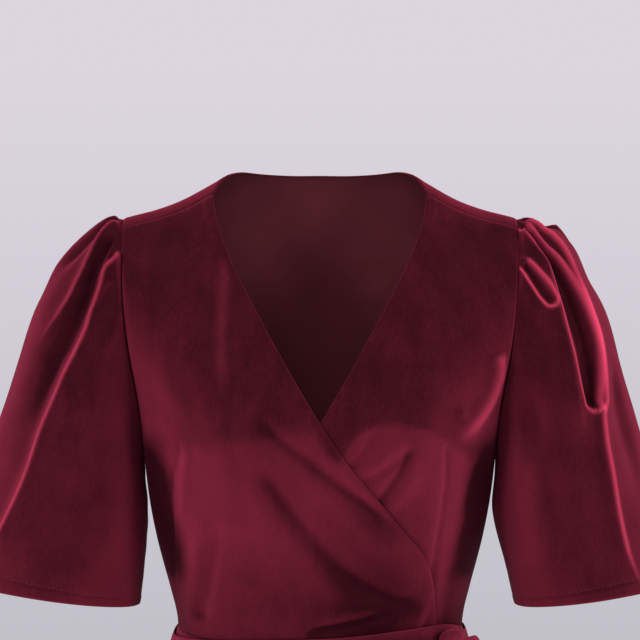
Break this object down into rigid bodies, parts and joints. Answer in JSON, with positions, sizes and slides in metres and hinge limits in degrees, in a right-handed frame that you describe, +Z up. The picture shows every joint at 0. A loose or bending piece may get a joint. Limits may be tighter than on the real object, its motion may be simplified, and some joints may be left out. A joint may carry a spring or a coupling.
{
  "type": "wrap dress",
  "caption": "Hollow worn wrap dress of dark red velvet with a V neck, puffed flared elbow sleeves, a side-tied sash and an A-line skirt.",
  "frame": {"origin": "middle of the wearer's shoulders, level with the two front neck points", "axes": "+Z up, the front faces -Y, the wearer's right is -X"},
  "size_m": [0.6958, 0.5482, 0.9829],
  "materials": {
    "velvet": "short-pile velvet, dark face-on and bright at grazing edges",
    "velvet_belt": "the same velvet, doubled into a sash"
  },
  "bodies": {
    "root": {"bodice_front_outer": "velvet", "bodice_front_inner": "velvet", "bodice_back": "velvet", "sleeve_right": "velvet", "sleeve_left": "velvet", "skirt_front_outer": "velvet", "skirt_front_inner": "velvet", "skirt_back": "velvet", "belt_band": "velvet_belt", "tie_knot": "velvet_belt", "bow_loop_right": "velvet_belt", "bow_loop_left": "velvet_belt", "tie_tail_long": "velvet_belt", "tie_tail_short": "velvet_belt"}
  },
  "joints": []
}
